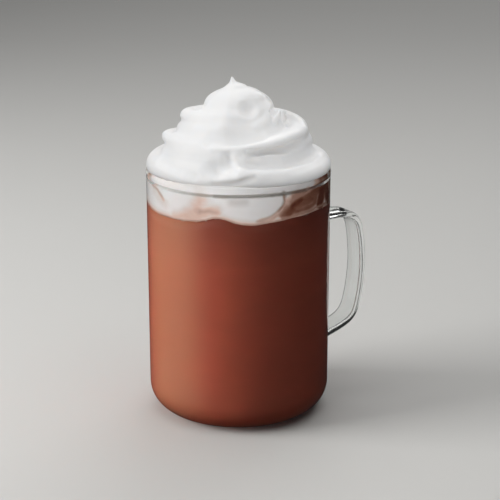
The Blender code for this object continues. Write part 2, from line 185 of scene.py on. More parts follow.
# Strands laid on and grooves pressed into the folds: (softness, [(x, y, height, radius)]),
# both tables worked out as DRINK_LINE was
STRANDS = [
    # The fold that closes round the dimple
    (1.8, [(9.3, -3.5, 143, 2.4), (11.7, -2.9, 141.7, 2.4), (13.1, -5.5, 139.2, 2.4),
        (12.9, -8.9, 136.4, 2.4), (11, -13.6, 134, 2.2), (7.6, -16.7, 132.4, 2)]),
    # A crest in the crook on the right
    (0.8, [(15.8, -1.9, 137, 1.6), (16.9, -4.5, 136.7, 2), (16.3, -8.3, 135.7, 2),
        (15, -11, 133.8, 1.8)]),
    # The lobe beyond it
    (1.2, [(22.7, 6.5, 132.7, 2.2), (25, 3.3, 132.5, 2.4), (27.2, -0.9, 131.5, 2.2),
        (28.3, -5.3, 130.1, 1.8)]),
    # The bright ridge across the front
    (1.6, [(-9.7, -28.6, 126.2, 2), (-5.2, -29.2, 126.6, 2.2), (0.9, -29.7, 126.8, 2.2),
        (7.4, -29, 126.9, 2.2), (13.1, -26.9, 127.4, 2.2), (19, -22.5, 128.3, 2.2),
        (25.1, -14.6, 129.2, 2), (28.4, -5.9, 129.4, 1.8)]),
    # The hook where the last strand starts
    (1.4, [(2.1, -37.6, 116.8, 2.2), (0.3, -34.2, 117.8, 2.2), (-1.1, -31.7, 120.8, 2.1),
        (-1.7, -30.6, 122.9, 2.1), (0, -29.9, 124.6, 2.1), (3.4, -29.4, 124.2, 2.1),
        (7.1, -29, 123, 2), (11.7, -28.1, 122.2, 1.9), (16.6, -25.9, 121.4, 1.8),
        (21.5, -21.6, 121.4, 1.6)]),
    # The lap below the ridge
    (2.6, [(0.6, -29.9, 120.7, 3.4), (4.9, -29.7, 120.9, 3.8), (9.8, -28.9, 120.9, 3.8),
        (14.7, -27.3, 120.3, 3.6), (18.6, -24.8, 119.4, 3.2)]),
    # The strand's lower edge
    (1.4, [(1.6, -37.2, 117.3, 2.4), (4.9, -37.4, 116.8, 2.4), (10.8, -36.3, 116.3, 2.4),
        (19.4, -32, 116.1, 2.4), (26.3, -24.8, 116.4, 2.4), (32.1, -15.6, 116.8, 2.2),
        (36.5, -2.5, 117, 2)]),
    # A small lap above the rim
    (1.4, [(-8.6, -36.3, 114.5, 1.6), (-3.1, -37.9, 114.8, 1.8), (0.3, -39, 115.3, 1.8),
        (3.8, -38.7, 116.1, 1.6)]),
]
GROOVES = [
    # The dimple in the dome
    (2.2, [(4.8, -15.6, 141.9, 4.2)]),
    # A gap beside the crest
    (0.8, [(18.7, 15.2, 135.1, 1.4), (19.4, 11.3, 133.5, 1.7), (19.9, 8.1, 131.9, 1.8),
        (18.8, 0.2, 132.2, 1.8), (20, -3.1, 131.8, 1.6), (21.2, -6.4, 132.1, 1.2)]),
    # A gap behind the dome
    (1.4, [(13.9, -3.1, 142.8, 1.4), (14.8, -3, 140.8, 1.7), (15, -3, 139.1, 1.8),
        (15, -5.5, 138.1, 1.6), (14.6, -8.8, 137.5, 1.3)]),
    # The hollow behind the ridge
    (3, [(-11.6, -28.9, 132.9, 4.5), (-4.5, -29.1, 132.9, 5), (2.4, -26.9, 132.5, 5),
        (9.1, -24.2, 133.2, 4.5)]),
    # The shadow line below the ridge
    (1.4, [(4.9, -31.1, 124.8, 1.5), (8.3, -29.7, 124.8, 1.6), (11.2, -28.2, 124.8, 1.7),
        (15, -26.1, 124.9, 1.9), (19, -23.6, 125, 2), (23.1, -20.4, 125.5, 1.8),
        (28, -14.6, 126.1, 1.8)]),
    # The hollow beside the hook
    (2.4, [(-12.6, -39.1, 120.8, 5), (-9.3, -38.2, 120.5, 4.6), (-7.8, -37.9, 120.8, 4.2),
        (-4.7, -35.9, 121.7, 3.2)]),
    # The shadow close to the hook
    (1.2, [(-4.3, -32.9, 123.6, 1.5), (-4, -33.9, 121.6, 1.9), (-3.2, -36.8, 120.4, 1.9),
        (-1.6, -39.4, 118.7, 1.4)]),
    # A dimple in the last strand
    (1.8, [(5.7, -32.8, 121.6, 1.8), (9.1, -32.5, 121.1, 2.2), (15.1, -31.8, 121.1, 2.6),
        (20.5, -28.9, 120.9, 2.8), (24.8, -24, 121.2, 3.2), (29.3, -17.9, 121.1, 3.4),
        (33.3, -8.1, 121.1, 3)]),
    # The crease above the rim
    (1.6, [(-10.8, -38.6, 112.7, 0.9), (-7.4, -38.8, 112.7, 1), (-3.8, -39.4, 113.1, 1),
        (0.1, -40.8, 114.2, 0.9), (3.5, -41, 115.5, 0.9), (6.9, -40.5, 116.4, 0.8)]),
    # A soft crease in the bottom ring
    (2.4, [(-34.6, -19.1, 120.1, 2), (-29, -28.1, 119.4, 2.2), (-23.5, -33.9, 118.2, 2.2),
        (-18.9, -36.7, 116.8, 2)]),
]

# Lines at the wall where cocoa shows and where shade is painted into the cream's creases too
LOBE_EDGE = [(-60.1, 107.1), (-60.6, 105), (-61.8, 102.9), (-64.3, 101.1)]
LOBE_FOOT = [(-64.9, 100.9), (-69, 99.3), (-73.5, 97.8), (-78, 96.7)]
FAR_LEFT_STREAK = [(-172, 110.4), (-166, 109.6), (-160, 108.6)]
# Chocolate marbled into the melted cream at the wall, each stroke over the one before:
# (half width, softness, share of chocolate, [(azimuth, height)]), worked out as DRINK_LINE was
MARBLING = [
    # Pale patch at the front left, and its lower edge
    (1.6, 5, 0.24, [(-113.3, 105.9), (-116.1, 103), (-118.2, 100.3), (-121.9, 97.7)]),
    (1.5, 3.6, 0.24, [(-132.3, 96.6), (-121.2, 97.8), (-112, 99.4), (-103.5, 101.6)]),
    (0.4, 2.2, 0.33, [(-115.4, 100.9), (-110, 101.1), (-104.8, 100.9)]),
    # The seam right of the lobe, with its pale edge
    (0.9, 1.6, 0.3, [(-62.2, 99.8), (-69, 97.9), (-75.5, 96.6)]),
    (1.1, 1.8, 0.4, [(-59.3, 102.7), (-60.7, 99.3)]),
    (0.25, 1, 0.4, LOBE_EDGE),
    (0.25, 1, 0.26, LOBE_FOOT),
    (1.2, 3, 0.34, [(-57.2, 103.8), (-53.4, 105.6), (-47.8, 106.5)]),
    # The large cocoa patch on the right
    (1.9, 2.8, 0.74, [(-56.4, 99.3), (-52.6, 101.3), (-46.9, 103.1), (-39.6, 104.4),
     (-31, 105.9), (-24.4, 107.6)]),
    (2.2, 2.8, 0.7, [(-49.3, 99.9), (-41.4, 101.1), (-34.3, 102.4)]),
    (0.7, 1.2, 0.9, [(-54.5, 102), (-51, 102.9), (-46.9, 103.6)]),
    (0.5, 1, 0.6, [(-50.1, 99.8), (-43.3, 100.5), (-37.5, 101.5)]),
    (0.8, 1.3, 0.46, [(-53.4, 106), (-47.8, 106.7), (-41.6, 107.5)]),
    # Darker cocoa by the handle
    (2.4, 1.6, 0.88, [(-21.2, 107.5), (-24.1, 103.1), (-26.9, 99.4)]),
    (2.6, 2, 0.8, [(-17, 107.6), (-15, 103.5), (-13, 99.8)]),
    (2.4, 2.2, 0.6, [(-5, 106.6), (-1, 102.5), (4, 99.6)]),
    (0.5, 0.9, 0.46, [(-60, 97), (-51.7, 97.2), (-43.2, 97.7), (-34.2, 98.1), (-25.4, 98.4),
     (-16.9, 98.6)]),
    # Two streaks at the far left
    (0.5, 1, 0.3, FAR_LEFT_STREAK),
    (1.4, 1.8, 0.1, [(-154.6, 104.2), (-148, 102.5), (-141.4, 101.2)]),
    (0.4, 1.2, 0.26, [(-158.3, 107.2), (-150.3, 105.9), (-145.6, 104.2), (-142.9, 103)]),
    # Round the back
    (1.6, 2.8, 0.46, [(10, 105.5), (20, 102.6), (34, 100.8), (46, 102.4)]),
    (0.9, 2.4, 0.34, [(30, 105.2), (44, 106), (58, 104.6)]),
    (1.4, 2.6, 0.42, [(62, 99.6), (74, 101), (86, 100.2)]),
    (0.35, 1, 0.45, [(84, 106), (96, 103), (104, 99.4)]),
    (2, 3.4, 0.28, [(112, 101.8), (124, 103.2), (136, 101.6)]),
    (0.5, 1.4, 0.48, [(128, 106.4), (142, 105.2), (152, 102.6)]),
    (1.2, 2.8, 0.28, [(150, 99.4), (162, 100.8), (172, 103.6)]),
]

# Painted shade and grey in it, in the same form: the groove's dark line under the bead, then
# where the lobe is tucked in, then greyed streaks and a spot
SHADE_AND_GREY_STROKES = [
    (0.35, 0.7, 0.4, [(-180, 108), (-90, 108), (0, 108), (90, 108), (180, 108)]),
    (0.5, 0.8, 0.8, [(-104.7, 108), (-85.5, 108), (-68.4, 108)]),
    (0.6, 0.8, 0.85, [(-68.4, 108), (-54.2, 108), (-42.5, 108)]),
    (0.7, 1, 1, [(-60.1, 108.5), (-59.7, 107.3)]),
    (0.3, 1, 0.8, LOBE_EDGE),
    (0.25, 1, 0.4, LOBE_FOOT),
    (0.4, 1, 0.45, FAR_LEFT_STREAK),
    (0.35, 1.1, 0.4, [(-158.3, 107.2), (-150.3, 105.9), (-145.6, 104.2)]),
    (0.2, 1.4, 0.25, [(-114.1, 101.2), (-110, 101.1), (-106.1, 100.8)]),
    (1, 2.2, 0.34, [(-93.5, 105.8), (-89.8, 105.6), (-85.5, 105.8)]),
]

# What the lamps light. The cream is scrimmed from the key, and has lamps of its own that are
# flagged off the drink.
SWIRL, BAND, GLASS = ("whipped_swirl",), ("melted_cream_band",), ("mug_glass",)
FLOOR = ("studio_floor",)
REST = ("mug_glass", "mocha_drink", "melted_cream_band", "froth_bubbles")
# Lamps: name, turn from the view's right, distance, height, size, the setting of its power,
# the height it aims at, what it lights, whether the rest lets it past, which rays miss it
LAMPS = [
    ("key", -170, 1, 0.28, (0.6, 1), "key_power", 0.08, REST + FLOOR, False, ["glossy"]),
    ("cream_key", -165, 1, 0.36, (0.6, 1), "cream_key_power", 0.08, SWIRL, False, []),
    ("low_fill", -75, 0.9, 0.03, (1.2, 0.3), "low_fill_power", 0.03, GLASS, False, ["glossy"]),
    ("top", 0, 0.04, 1, (1.4, 1.4), "top_power", 0.1, REST, False, []),
    ("cream_top", 0, 0.04, 1, (1.4, 1.4), "cream_top_power", 0.1, SWIRL, True, []),
    ("floor_top", 0, 0.04, 1, (1.4, 1.4), "cream_top_power", 0.1, FLOOR, False, []),
    ("cream_fill", -48, 0.9, 0.24, (1.4, 1.2), "fill_power", 0.12, SWIRL, True, []),
    ("cream_bounce", -80, 0.7, 0.02, (1.4, 0.3), "bounce_power", 0.12, SWIRL, True, []),
    ("band_fill", -95, 0.9, 0.2, (1.2, 1), "band_power", 0.1, BAND, True, []),
    ("back", 75, 2.4, 1.95, (2, 1.2), "back_power", 0.08, (), False, []),
    # A narrow strip overhead draws a line of light on the rim and the handle
    ("rim_strip", -90, 0.32, 0.75, (1, 0.09), "rim_power", 0.1, GLASS, False,
     ["transmission", "diffuse"]),
]


def linear(colour):
    """An sRGB hex colour as linear red, green, blue and alpha."""
    parts = [int(colour[i:i + 2], 16) / 255 for i in (1, 3, 5)]
    return (*(c / 12.92 if c < 0.04045 else ((c + 0.055) / 1.055) ** 2.4 for c in parts), 1.0)


def wetted(colour):
    """The own colour of what wets the glass, from how it looks: the wall throws back inside
    much of the light that such a surface gives off, so it looks darker than it is."""
    return (*(c / (LET_OUT + THROWN_BACK * c) for c in linear(colour)[:3]), 1.0)


def toned(colour, share):
    """A linear colour made darker or lighter."""
    return (*(min(1.0, c * share) for c in colour[:3]), 1.0)


def add_node(tree, kind, links=None, **settings):
    """Adds a node, sets its options, and fills or links its inputs by name or number."""
    made = tree.nodes.new(kind)
    for name, value in settings.items():
        setattr(made, name, value)
    for key, value in (links or {}).items():
        socket = made.inputs[key]
        if isinstance(value, bpy.types.Node):
            value = value.outputs[0]
        if isinstance(value, bpy.types.NodeSocket):
            tree.links.new(value, socket)
        else:
            socket.default_value = value
    return made


def new_material(name):
    """An empty material, add_node for its tree, and the place on the piece."""
    material = bpy.data.materials.new(name)
    material.use_nodes = True
    material.node_tree.nodes.clear()
    add = partial(add_node, material.node_tree)
    return material, add, add("ShaderNodeTexCoord").outputs["Object"]


def finish_material(material, add, inputs):
    """Gives a material its shader and its output."""
    add("ShaderNodeOutputMaterial", {"Surface": add("ShaderNodeBsdfPrincipled", inputs)})
    return material


def set_stops(ramp, stops):
    """Sets a colour ramp's (position, sRGB hex) stops and returns its colour."""
    elements = ramp.color_ramp.elements
    while len(elements) < len(stops):
        elements.new(0.5)
    for element, (position, colour) in zip(elements, stops):
        element.position = position
        element.color = linear(colour)
    return ramp.outputs["Color"]


def borosilicate_glass():
    """Clear blown borosilicate: colourless, fire-polished, with the faint sag of blown glass."""
    material, add, place = new_material("borosilicate_glass")
    sag = add("ShaderNodeTexNoise", {"Vector": place, "Scale": 1 / 0.03, "Detail": 1.0})
    wavy = add("ShaderNodeBump", {"Height": sag, "Strength": 0.05, "Distance": 0.0006})
    return finish_material(material, add, {
        "Base Color": linear("#fbfdfc"), "Transmission Weight": 1.0, "IOR": 1.474,
        "Roughness": 0.01, "Normal": wavy})


def chocolate_milk(settings):
    """Steamed milk with cocoa and coffee: cloudy, so light goes a little way in."""
    material, add, place = new_material("chocolate_milk")
    # Slow clouds of milk about 25 mm across, drawn out round the mug by the stirring
    drawn = add("ShaderNodeMapping", {"Vector": place, "Scale": (1.0, 1.0, 2.2)})
    cloud = add("ShaderNodeTexNoise", {"Vector": drawn, "Scale": 1 / 0.025, "Detail": 2.0,
                                       "Distortion": 0.4})
    spread = add("ShaderNodeMapRange", {"Value": cloud, "From Min": 0.3, "From Max": 0.7})
    depth = wetted(settings.drink_colour)
    clouded = add("ShaderNodeMix", {"Factor": spread, 6: toned(depth, 0.96),
                                    7: toned(depth, 1.05)}, data_type="RGBA")
    # Painted sheen: the drink is made paler on its lit side, away from the handle
    side = add("ShaderNodeVectorMath", {0: place, 1: (-0.990, -0.139, 0.0)},
               operation="DOT_PRODUCT")
    lit_side_sheen = add("ShaderNodeMapRange", {"Value": side.outputs["Value"], "From Min": 0.030,
                                          "From Max": 0.0388}, interpolation_type="SMOOTHSTEP")
    shade = add("ShaderNodeMix", {"Factor": lit_side_sheen, 6: clouded.outputs[2],
                                  7: wetted(settings.sheen_colour)}, data_type="RGBA")
    # Painted shadow under the cream: the drink is made darker towards its top, less so under the
    # painted sheen
    height = add("ShaderNodeSeparateXYZ", {"Vector": place})
    under = add("ShaderNodeMapRange", {"Value": height.outputs["Z"], "From Min": 0.076,
                                       "From Max": 0.098})
    bare = add("ShaderNodeMath", {0: lit_side_sheen, 1: -0.7, 2: 1.0}, operation="MULTIPLY_ADD")
    cream_shadow = add("ShaderNodeMath", {0: under, 1: bare}, operation="MULTIPLY")
    cream_shadowed = add("ShaderNodeMix", {"Factor": cream_shadow, 6: shade.outputs[2],
                                   7: linear("#c5bfbb")},
                 data_type="RGBA", blend_type="MULTIPLY")
    return finish_material(material, add, {
        "Base Color": cream_shadowed.outputs[2], "Roughness": 0.6, "IOR": 1.5,
        "Specular IOR Level": 0.7, "Subsurface Weight": 0.25,
        "Subsurface Radius": (1.0, 0.35, 0.2), "Subsurface Scale": 0.0016})


def melting_cream():
    """Cream sliding into hot chocolate: white where it is thick, cocoa where it is thin."""
    material, add, place = new_material("melting_cream")
    share = add("ShaderNodeAttribute", attribute_name="cocoa_share").outputs["Fac"]
    # Wisps a few millimetres long where the two mix
    drawn = add("ShaderNodeMapping", {"Vector": place, "Scale": (1.0, 1.0, 2.0)})
    wisps = add("ShaderNodeTexNoise", {"Vector": drawn, "Scale": 1 / 0.006, "Detail": 4.0,
                                       "Distortion": 1.2})
    offset = add("ShaderNodeMath", {0: wisps, 1: 0.5}, operation="SUBTRACT")
    amount = add("ShaderNodeMath", {0: share, 1: 0.34, 2: 0.05}, operation="MULTIPLY_ADD")
    mixed = add("ShaderNodeMath", {0: offset, 1: amount, 2: share}, operation="MULTIPLY_ADD")
    colour = set_stops(add("ShaderNodeValToRGB", {"Fac": mixed}), [
        (0.0, "#f6f4f4"), (0.1, "#ece6e3"), (0.25, "#e5c8ba"), (0.42, "#bd9788"),
        (0.6, "#966a58"), (0.8, "#7a4837"), (1.0, "#5a2f24")])
    # Painted shade: the creases and the groove's line are darkened with a grey-brown, which also
    # greys a few streaks
    shade_and_grey_factor = add("ShaderNodeAttribute", attribute_name="crease_shade").outputs["Fac"]
    shaded = add("ShaderNodeMix", {"Factor": shade_and_grey_factor, 6: colour, 7: linear("#b1aba4")},
                 data_type="RGBA", blend_type="MULTIPLY")
    return finish_material(material, add, {
        "Base Color": shaded.outputs[2], "Roughness": 0.5, "IOR": 1.4,
        "Specular IOR Level": 0.15, "Subsurface Weight": 0.3,
        "Subsurface Radius": (1.0, 0.8, 0.7), "Subsurface Scale": 0.0012})


def whipped_dairy_cream(settings):
    """Whipped dairy cream: a close foam of fat, satin, almost pure white and translucent."""
    material, add, place = new_material("whipped_dairy_cream")
    # Pores of the foam, near half a millimetre, drawn at 1.2 mm so that they show
    pores = add("ShaderNodeTexNoise", {"Vector": place, "Scale": 1 / 0.0012, "Detail": 2.0})
    soft = add("ShaderNodeTexNoise", {"Vector": place, "Scale": 1 / 0.009, "Detail": 1.0})
    height = add("ShaderNodeMath", {0: pores, 1: 0.25, 2: soft}, operation="MULTIPLY_ADD")
    foamed = add("ShaderNodeBump", {"Height": height, "Strength": 0.10, "Distance": 0.0006})
    shade = add("ShaderNodeMapRange", {"Value": soft, "From Min": 0.3, "From Max": 0.7})
    white = linear(settings.cream_colour)
    colour = add("ShaderNodeMix", {"Factor": shade, 6: toned(white, 0.975), 7: white},
                 data_type="RGBA")
    return finish_material(material, add, {
        "Base Color": colour.outputs[2], "Roughness": 0.48, "IOR": 1.4, "Normal": foamed,
        "Subsurface Weight": 0.8, "Subsurface Radius": (1.0, 0.95, 0.9),
        "Subsurface Scale": 0.0028})


def milk_foam():
    """Milk froth: thin-walled bubbles that look pale and a little pink over the cocoa."""
    material, add, place = new_material("milk_foam")
    spots = add("ShaderNodeTexNoise", {"Vector": place, "Scale": 1 / 0.004})
    colour = set_stops(add("ShaderNodeValToRGB", {"Fac": spots}),
                       [(0.35, "#c99f8d"), (0.65, "#e6d3c8")])
    return finish_material(material, add, {
        "Base Color": colour, "Roughness": 0.25, "IOR": 1.35, "Subsurface Weight": 0.2,
        "Subsurface Scale": 0.0005})


def matte_sweep(settings):
    """Matte painted board: the floor of a small studio, with the faintest mottle."""
    material, add, place = new_material("matte_painted_board")
    mottle = add("ShaderNodeTexNoise", {"Vector": place, "Scale": 1 / 0.4, "Detail": 3.0})
    pale = linear(settings.floor_colour)
    colour = add("ShaderNodeMix", {"Factor": mottle, 6: toned(pale, 0.96), 7: pale},
                 data_type="RGBA")
    # As if black cards stood round the mug's foot, light off the floor stays off the mug
    path = add("ShaderNodeLightPath")
    seen = add("ShaderNodeMath", {0: path.outputs["Diffuse Depth"], 1: 0.5},
               operation="LESS_THAN")
    shown = add("ShaderNodeMix", {"Factor": seen, 6: (0, 0, 0, 1), 7: colour.outputs[2]},
                data_type="RGBA")
    return finish_material(material, add, {"Base Color": shown.outputs[2], "Roughness": 0.75})


def add_object(name, data):
    """Puts an object in the scene, at the origin."""
    made = bpy.data.objects.new(name, data)
    bpy.context.scene.collection.objects.link(made)
    return made


def face_outwards(mesh, merge=0.0):
    """Turns a mesh's faces outwards, after its doubles are merged where asked."""
    tidy = bmesh.new()
    tidy.from_mesh(mesh)
    if merge:
        bmesh.ops.remove_doubles(tidy, verts=tidy.verts, dist=merge)
    bmesh.ops.recalc_face_normals(tidy, faces=tidy.faces)
    tidy.to_mesh(mesh)
    tidy.free()


def mesh_object(name, points, faces, material):
    """An object from points in millimetres, its faces turned outwards."""
    mesh = bpy.data.meshes.new(name)
    mesh.from_pydata((np.asarray(points, float) * MM).tolist(), [], faces)
    face_outwards(mesh)
    mesh.materials.append(material)
    mesh.shade_smooth()
    return add_object(name, mesh)


def guide(name, points):
    """A line of points, in metres, for a node tree to work on."""
    mesh = bpy.data.meshes.new(name)
    mesh.from_pydata([tuple(p) for p in points], [(i, i + 1) for i in range(len(points) - 1)],
                     [])
    return add_object(name, mesh)


def keep_result(obj):
    """Makes an object's modifiers into its plain mesh."""
    bpy.context.view_layer.update()
    graph = bpy.context.evaluated_depsgraph_get()
    mesh = bpy.data.meshes.new_from_object(obj.evaluated_get(graph))
    obj.modifiers.clear()
    obj.data = mesh


def finish_piece(piece, node):
    """Seats a piece on the one body and hides the solid it stands for."""
    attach(piece, "root")
    if node:
        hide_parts(node)


def arc(centre_r, centre_z, radius, start, end, steps):
    """Points (radius, height) along an arc, angles in degrees."""
    angles = np.radians(np.linspace(start, end, steps + 1))
    return [(centre_r + radius * math.cos(a), centre_z + radius * math.sin(a)) for a in angles]


def line_points(start, end, step):
    """Points along a straight line, without its ends."""
    count = max(1, round(math.dist(start, end) / step))
    return [tuple(np.array(start) + (np.array(end) - np.array(start)) * i / count)
            for i in range(1, count)]


def even_turns(count):
    """Angles evenly round the mug."""
    return [2 * math.pi * i / count for i in range(count)]


def round_ring(radius, turns, heights):
    """A ring of points, level or with a height for each turn."""
    return [(radius * math.cos(t), radius * math.sin(t), z)
            for t, z in zip(turns, np.broadcast_to(heights, len(turns)))]


def rings_mesh(rings):
    """Points and faces of a closed solid from rings, capped by its first and last points."""
    steps = len(rings[1])
    points = [rings[0][0]]
    for ring in rings[1:-1]:
        points.extend(ring)
    points.append(rings[-1][0])
    last = len(points) - 1
    faces = [(0, 1 + (i + 1) % steps, 1 + i) for i in range(steps)]
    for row in range(len(rings) - 3):
        low = 1 + row * steps
        high = low + steps
        faces.extend((low + i, low + (i + 1) % steps, high + (i + 1) % steps, high + i)
                     for i in range(steps))
    top = last - steps
    faces.extend((top + i, top + (i + 1) % steps, last) for i in range(steps))
    return points, faces


def smooth_path(keys, count):
    """Evenly spaced points on a Catmull-Rom curve through the given ones."""
    keys = np.array(keys, float)
    keys = np.vstack([2 * keys[0] - keys[1], keys, 2 * keys[-1] - keys[-2]])
    dense = []
    for i in range(1, len(keys) - 2):
        a, b, c, d = keys[i - 1:i + 3]
        for t in np.linspace(0, 1, 20, endpoint=False):
            dense.append(0.5 * (2 * b + (c - a) * t + (2 * a - 5 * b + 4 * c - d) * t ** 2
                                + (3 * b - a - 3 * c + d) * t ** 3))
    dense = np.array([*dense, keys[-2]])
    lengths = np.concatenate([[0], np.cumsum(np.linalg.norm(np.diff(dense, axis=0), axis=1))])
    wanted = np.linspace(0, lengths[-1], count)
    return np.stack([np.interp(wanted, lengths, dense[:, k]) for k in range(2)], axis=1)


def start_tree(name, floats=(), whole=()):
    """A geometry tree with a geometry, named sizes and a material to fill in."""
    tree = bpy.data.node_groups.new(name, "GeometryNodeTree")
    names = {}
    for label, kind in [("Geometry", "Geometry"), *((label, "Float") for label in floats),
                        *((label, "Int") for label in whole), ("Material", "Material")]:
        socket = tree.interface.new_socket(label, in_out="INPUT",
                                           socket_type="NodeSocket" + kind)
        names[label] = socket.identifier
    tree.interface.new_socket("Geometry", in_out="OUTPUT", socket_type="NodeSocketGeometry")
    add = partial(add_node, tree)
    return (tree, names), add, add("NodeGroupInput").outputs


def end_tree(add, shape, given):
    """Makes the copies real and gives them their material."""
    real = add("GeometryNodeRealizeInstances", {"Geometry": shape})
    coloured = add("GeometryNodeSetMaterial", {"Geometry": real, "Material": given["Material"]})
    add("NodeGroupOutput", {0: coloured})


def run_tree(obj, built, values):
    """Runs a geometry tree on an object and keeps its result as a plain mesh."""
    tree, names = built
    step = obj.modifiers.new(tree.name, "NODES")
    step.node_group = tree
    for label, value in values.items():
        step[names[label]] = value
    keep_result(obj)


def turning_tree():
    """Turns a profile round the upright axis. The profile's x is out from the path."""
    built, add, given = start_tree("turned_wall", ["Path Radius"], ["Steps"])
    path = add("GeometryNodeCurvePrimitiveCircle", {"Radius": given["Path Radius"],
                                                    "Resolution": given["Steps"]})
    profile = add("GeometryNodeMeshToCurve", {"Mesh": given["Geometry"]})
    wall = add("GeometryNodeCurveToMesh", {"Curve": path, "Profile Curve": profile})
    end_tree(add, add("GeometryNodeMergeByDistance", {"Geometry": wall, "Distance": 1e-6}),
             given)
    return built


def strap_tree():
    """Sweeps a round-cornered strap along a path, thicker where it meets the wall."""
    built, add, given = start_tree("glass_strap", ["Width", "Thickness", "Corner",
                                                   "Wall Radius", "Flare Reach", "Flare"])
    path = add("GeometryNodeMeshToCurve", {"Mesh": given["Geometry"]})
    place = add("ShaderNodeSeparateXYZ", {"Vector": add("GeometryNodeInputPosition")})
    reach = add("ShaderNodeMath", {0: given["Wall Radius"], 1: given["Flare Reach"]})
    near = add("ShaderNodeMapRange", {"Value": place.outputs["X"], "From Min": reach,
                                      "From Max": given["Wall Radius"], "To Min": 0.0,
                                      "To Max": 1.0})
    eased = add("ShaderNodeMath", {0: near, 1: 2.0}, operation="POWER")
    grow = add("ShaderNodeMath", {0: eased, 1: given["Flare"], 2: 1.0},
               operation="MULTIPLY_ADD")
    sized = add("GeometryNodeSetCurveRadius", {"Curve": path, "Radius": grow})
    section = add("GeometryNodeCurvePrimitiveQuadrilateral", {"Width": given["Width"],
                                                              "Height": given["Thickness"]})
    rounded = add("GeometryNodeFilletCurve", {"Curve": section, "Radius": given["Corner"],
                                              "Count": 6}, mode="POLY")
    end_tree(add, add("GeometryNodeCurveToMesh", {"Curve": sized, "Profile Curve": rounded,
                                                  "Fill Caps": True}), given)
    return built


def bubble_tree():
    """Sets small round bubbles of mixed sizes on the points of a line."""
    built, add, given = start_tree("froth_bubbles", ["Smallest", "Largest"], ["Seed"])
    bubble = add("GeometryNodeMeshIcoSphere", {"Radius": 1.0, "Subdivisions": 2})
    size = add("FunctionNodeRandomValue", {"Min": given["Smallest"], "Max": given["Largest"],
                                           "Seed": given["Seed"]}, data_type="FLOAT")
    points = add("GeometryNodeMeshToPoints", {"Mesh": given["Geometry"]})
    end_tree(add, add("GeometryNodeInstanceOnPoints", {
        "Points": points, "Instance": bubble, "Scale": size.outputs[1]}), given)
    return built


def level_at(radius, azimuth, settings):
    """Height of the drink's top: wavy at the wall, level in the middle."""
    keys = np.array(DRINK_LINE + [(DRINK_LINE[0][0] + 360, DRINK_LINE[0][1])], float)
    turned = (azimuth - math.degrees(settings.swirl_turn) + 180) % 360 - 180
    # The keys are joined by smooth waves
    span = np.arange(-180, 181, 1.0)
    line = np.interp(span, keys[:, 0], keys[:, 1])
    for _ in range(2):
        line[1:-1] = (line[:-2] + 2 * line[1:-1] + line[2:]) / 4
    edge = np.interp(turned, span, line)
    level = settings.drink_level / MM
    return level + (edge - level) * np.clip((radius - WAVES_FROM) / WAVES_OVER, 0, 1) ** 2


def level_ring(radius, turns, settings, lift=0.0):
    """A ring on the drink's top, or lifted a little from it."""
    return round_ring(radius, turns, [level_at(radius, math.degrees(t), settings) + lift
                                      for t in turns])


def blend(a, b, width):
    """The smaller of two fields, with a fillet of this width between them."""
    mix = np.clip(0.5 + 0.5 * (b - a) / width, 0, 1)
    return b + (a - b) * mix - width * mix * (1 - mix)


def mound_field(keys, radius, height):
    """Signed distance to a solid turned from (height, radius) keys and flat on top."""
    keys = np.array(keys, float)
    steep = np.interp(height, keys[:, 0], np.gradient(keys[:, 1], keys[:, 0]))
    side = (radius - np.interp(height, keys[:, 0], keys[:, 1])) / np.sqrt(1 + steep * steep)
    return np.maximum(side, height - keys[-1, 0])


def section_field(strand, soft, azimuth, radius, height):
    """Signed distance to a fold given by its sections, in the plane through the axis."""
    keys = np.array(strand, float)
    result = np.full(np.broadcast(radius, height).shape, FAR)
    first = math.floor((keys[0, 0] + 180) / 360)
    last = math.ceil((keys[-1, 0] + 180) / 360)
    for lap in range(first, last + 1):
        turned = azimuth + 360.0 * lap
        if keys[0, 0] > turned.max() or keys[-1, 0] < turned.min():
            continue
        inside = (turned >= keys[0, 0]) & (turned <= keys[-1, 0])
        r0, z0, a, b = (np.interp(turned, keys[:, 0], keys[:, k]) for k in range(1, 5))
        reach = np.sqrt(((radius - r0) / a) ** 2 + ((height - z0) / b) ** 2)
        distance = np.where(inside, (reach - 1) * np.minimum(a, b), FAR)
        result = np.where(result > FAR / 2, distance,
                          np.where(distance > FAR / 2, result, blend(result, distance, soft)))
    return result


def chain_field(chain, x, y, z):
    """Signed distance to rounded cones through the chain's balls."""
    best = np.full(x.shape, FAR)
    for a, b in zip(chain, chain[1:] if len(chain) > 1 else chain):
        span = np.array(b[:3]) - np.array(a[:3])
        t = ((x - a[0]) * span[0] + (y - a[1]) * span[1] + (z - a[2]) * span[2])
        t = np.clip(t / max(span.dot(span), 1e-6), 0, 1)
        reach = np.sqrt((x - a[0] - t * span[0]) ** 2 + (y - a[1] - t * span[1]) ** 2
                        + (z - a[2] - t * span[2]) ** 2)
        best = np.minimum(best, reach - (a[3] + (b[3] - a[3]) * t))
    return best


def work_chain(result, x, y, z, chain, soft, carve=False):
    """Lays a chain on the field, or carves it out, near the chain only."""
    balls = np.array(chain, float)
    reach = balls[:, 3].max() + soft + ROUND_CHAIN
    low, high = balls[:, :3].min(axis=0) - reach, balls[:, :3].max(axis=0) + reach
    near = np.full(result.shape, True)
    for axis, line in enumerate((x, y, z)):
        near = near & (line > low[axis]) & (line < high[axis])
    x, y, z = (np.broadcast_to(c, result.shape)[near] for c in (x, y, z))
    ball = chain_field(chain, x, y, z)
    result[near] = -blend(-result[near], ball, soft) if carve else blend(result[near], ball, soft)


